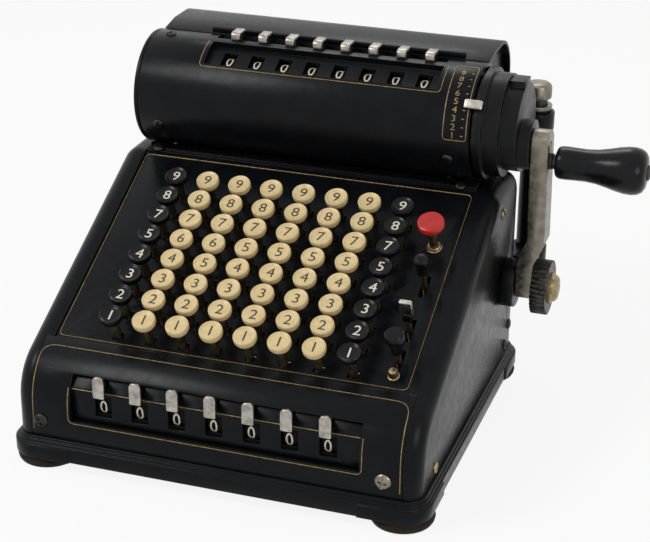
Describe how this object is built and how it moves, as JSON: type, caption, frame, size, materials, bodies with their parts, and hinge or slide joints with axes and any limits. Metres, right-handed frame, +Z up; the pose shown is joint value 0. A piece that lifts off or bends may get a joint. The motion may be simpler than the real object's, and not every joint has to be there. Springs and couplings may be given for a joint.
{
  "type": "desk calculator",
  "caption": "Crank-driven desk calculator with a sloping keyboard, a round register housing with number windows, a front register with setting levers and a side crank.",
  "frame": {"origin": "on the table, under the middle of the base casting", "axes": "+X to the right (the crank's side), +Y to the back, +Z up"},
  "size_m": [0.3124, 0.241, 0.2016],
  "materials": {
    "casing": "gloss",
    "steel": "satin",
    "dark_steel": "satin",
    "nickel": "worn",
    "brass": "satin",
    "rubber": "matte",
    "black_key": "gloss",
    "cream_key": "gloss",
    "red_key": "gloss"
  },
  "bodies": {
    "chassis": {"base_casting": "casing", "bottom_plate": "steel", "rubber_feet": "rubber", "side_casing_left": "casing", "side_casing_right": "casing", "front_panel": "casing", "register_tray": "casing", "key_panel": "casing", "ledge_strip": "casing", "rear_panel": "casing", "drum_shell": "casing", "drum_end_cap": "casing", "rear_cover": "casing", "lever_rail": "dark_steel", "hub_casting": "casing", "crank_bearing": "casing", "casing_screws": "brass", "column_tube": "nickel", "column_brackets": "casing", "side_frames": "steel", "register_rods": "steel", "lever_bushes": "brass"},
    "crank": {"crank_arm": "nickel", "crank_shaft": "steel", "knurled_nut": "dark_steel", "hub_cap": "brass", "handle_spindle": "brass"},
    "grip": {"handle_grip": "black_key"},
    "idler": {"idler_gear": "brass"},
    "rotor": {"rotor_shaft": "steel", "pinwheel_discs": "brass"},
    "key_column_1": {"key_column_1": "black_key"},
    "key_column_2": {"key_column_2": "cream_key"},
    "key_column_3": {"key_column_3": "cream_key"},
    "key_column_4": {"key_column_4": "cream_key"},
    "key_column_5": {"key_column_5": "cream_key"},
    "key_column_6": {"key_column_6": "cream_key"},
    "key_column_7": {"key_column_7": "cream_key"},
    "key_column_8": {"key_column_8": "black_key"},
    "entry_lever_1": {"entry_lever_1": "nickel"},
    "entry_lever_2": {"entry_lever_2": "nickel"},
    "entry_lever_3": {"entry_lever_3": "nickel"},
    "entry_lever_4": {"entry_lever_4": "nickel"},
    "entry_lever_5": {"entry_lever_5": "nickel"},
    "entry_lever_6": {"entry_lever_6": "nickel"},
    "entry_lever_7": {"entry_lever_7": "nickel"},
    "result_lever_1": {"result_lever_1": "nickel"},
    "result_lever_2": {"result_lever_2": "nickel"},
    "result_lever_3": {"result_lever_3": "nickel"},
    "result_lever_4": {"result_lever_4": "nickel"},
    "result_lever_5": {"result_lever_5": "nickel"},
    "result_lever_6": {"result_lever_6": "nickel"},
    "result_lever_7": {"result_lever_7": "nickel"},
    "result_lever_8": {"result_lever_8": "nickel"},
    "red_button": {"red_button": "red_key"},
    "shift_lever": {"shift_lever": "nickel"},
    "tab_lever": {"tab_lever": "nickel"},
    "clear_lever": {"clear_lever": "black_key"},
    "setting_slider": {"setting_slider": "nickel"},
    "column_cap": {"column_cap": "nickel"}
  },
  "joints": [
    {"name": "crank_turn", "type": "hinge", "parent": "chassis", "child": "crank", "pos_m": [0.13, 0.071, 0.069], "axis": [1, 0, 0], "continuous": true},
    {"name": "grip_spin", "type": "hinge", "parent": "crank", "child": "grip", "pos_m": [0.17, 0.06435, 0.14822], "axis": [1, 0, 0], "continuous": true},
    {"name": "idler_turn", "type": "hinge", "parent": "chassis", "child": "idler", "pos_m": [0.0825, 0.0745, 0.1165], "axis": [1, 0, 0], "continuous": true},
    {"name": "rotor_turn", "type": "hinge", "parent": "chassis", "child": "rotor", "pos_m": [0, 0.071, 0.164], "axis": [1, 0, 0], "continuous": true},
    {"name": "key_column_1_press", "type": "slide", "parent": "chassis", "child": "key_column_1", "axis": [0, 0.4446, -0.8957], "range_m": [0, 0.004], "stiffness_N_per_m": 150},
    {"name": "key_column_2_press", "type": "slide", "parent": "chassis", "child": "key_column_2", "axis": [0, 0.4446, -0.8957], "range_m": [0, 0.004], "stiffness_N_per_m": 150},
    {"name": "key_column_3_press", "type": "slide", "parent": "chassis", "child": "key_column_3", "axis": [0, 0.4446, -0.8957], "range_m": [0, 0.004], "stiffness_N_per_m": 150},
    {"name": "key_column_4_press", "type": "slide", "parent": "chassis", "child": "key_column_4", "axis": [0, 0.4446, -0.8957], "range_m": [0, 0.004], "stiffness_N_per_m": 150},
    {"name": "key_column_5_press", "type": "slide", "parent": "chassis", "child": "key_column_5", "axis": [0, 0.4446, -0.8957], "range_m": [0, 0.004], "stiffness_N_per_m": 150},
    {"name": "key_column_6_press", "type": "slide", "parent": "chassis", "child": "key_column_6", "axis": [0, 0.4446, -0.8957], "range_m": [0, 0.004], "stiffness_N_per_m": 150},
    {"name": "key_column_7_press", "type": "slide", "parent": "chassis", "child": "key_column_7", "axis": [0, 0.4446, -0.8957], "range_m": [0, 0.004], "stiffness_N_per_m": 150},
    {"name": "key_column_8_press", "type": "slide", "parent": "chassis", "child": "key_column_8", "axis": [0, 0.4446, -0.8957], "range_m": [0, 0.004], "stiffness_N_per_m": 150},
    {"name": "red_button_press", "type": "slide", "parent": "chassis", "child": "red_button", "axis": [0, 0.4446, -0.8957], "range_m": [0, 0.004], "stiffness_N_per_m": 120},
    {"name": "column_cap_press", "type": "slide", "parent": "chassis", "child": "column_cap", "axis": [0, 0, -1], "range_m": [0, 0.0038], "stiffness_N_per_m": 150},
    {"name": "entry_lever_1_set", "type": "hinge", "parent": "chassis", "child": "entry_lever_1", "pos_m": [-0.0628, -0.0845, 0.0404], "axis": [1, 0, 0], "range_deg": [0, 12]},
    {"name": "entry_lever_2_set", "type": "hinge", "parent": "chassis", "child": "entry_lever_2", "pos_m": [-0.0418, -0.0845, 0.0404], "axis": [1, 0, 0], "range_deg": [0, 12]},
    {"name": "entry_lever_3_set", "type": "hinge", "parent": "chassis", "child": "entry_lever_3", "pos_m": [-0.0208, -0.0845, 0.0404], "axis": [1, 0, 0], "range_deg": [0, 12]},
    {"name": "entry_lever_4_set", "type": "hinge", "parent": "chassis", "child": "entry_lever_4", "pos_m": [0.0002, -0.0845, 0.0404], "axis": [1, 0, 0], "range_deg": [0, 12]},
    {"name": "entry_lever_5_set", "type": "hinge", "parent": "chassis", "child": "entry_lever_5", "pos_m": [0.0212, -0.0845, 0.0404], "axis": [1, 0, 0], "range_deg": [0, 12]},
    {"name": "entry_lever_6_set", "type": "hinge", "parent": "chassis", "child": "entry_lever_6", "pos_m": [0.0422, -0.0845, 0.0404], "axis": [1, 0, 0], "range_deg": [0, 12]},
    {"name": "entry_lever_7_set", "type": "hinge", "parent": "chassis", "child": "entry_lever_7", "pos_m": [0.0632, -0.0845, 0.0404], "axis": [1, 0, 0], "range_deg": [0, 12]},
    {"name": "result_lever_1_set", "type": "hinge", "parent": "chassis", "child": "result_lever_1", "pos_m": [-0.0501, 0.06283, 0.17936], "axis": [1, 0, 0], "range_deg": [0, 8]},
    {"name": "result_lever_2_set", "type": "hinge", "parent": "chassis", "child": "result_lever_2", "pos_m": [-0.0336, 0.06283, 0.17936], "axis": [1, 0, 0], "range_deg": [0, 8]},
    {"name": "result_lever_3_set", "type": "hinge", "parent": "chassis", "child": "result_lever_3", "pos_m": [-0.0171, 0.06283, 0.17936], "axis": [1, 0, 0], "range_deg": [0, 8]},
    {"name": "result_lever_4_set", "type": "hinge", "parent": "chassis", "child": "result_lever_4", "pos_m": [-0.0006, 0.06283, 0.17936], "axis": [1, 0, 0], "range_deg": [0, 8]},
    {"name": "result_lever_5_set", "type": "hinge", "parent": "chassis", "child": "result_lever_5", "pos_m": [0.0159, 0.06283, 0.17936], "axis": [1, 0, 0], "range_deg": [0, 8]},
    {"name": "result_lever_6_set", "type": "hinge", "parent": "chassis", "child": "result_lever_6", "pos_m": [0.0324, 0.06283, 0.17936], "axis": [1, 0, 0], "range_deg": [0, 8]},
    {"name": "result_lever_7_set", "type": "hinge", "parent": "chassis", "child": "result_lever_7", "pos_m": [0.0489, 0.06283, 0.17936], "axis": [1, 0, 0], "range_deg": [0, 8]},
    {"name": "result_lever_8_set", "type": "hinge", "parent": "chassis", "child": "result_lever_8", "pos_m": [0.0654, 0.06283, 0.17936], "axis": [1, 0, 0], "range_deg": [0, 8]},
    {"name": "shift_lever_rock", "type": "hinge", "parent": "chassis", "child": "shift_lever", "pos_m": [0.089, -0.00826, 0.08585], "axis": [1, 0, 0], "range_deg": [-10, 10]},
    {"name": "tab_lever_rock", "type": "hinge", "parent": "chassis", "child": "tab_lever", "pos_m": [0.089, -0.03549, 0.07233], "axis": [1, 0, 0], "range_deg": [-10, 10]},
    {"name": "clear_lever_rock", "type": "hinge", "parent": "chassis", "child": "clear_lever", "pos_m": [0.089, -0.05439, 0.06295], "axis": [1, 0, 0], "range_deg": [-10, 10]},
    {"name": "setting_slider_turn", "type": "hinge", "parent": "chassis", "child": "setting_slider", "pos_m": [0.0975, 0.071, 0.164], "axis": [1, 0, 0], "range_deg": [-30, 35]}
  ],
  "couplings": [
    {"joint": "idler_turn", "follows": "crank_turn", "ratio": -1.375},
    {"joint": "rotor_turn", "follows": "crank_turn", "ratio": 1}
  ]
}
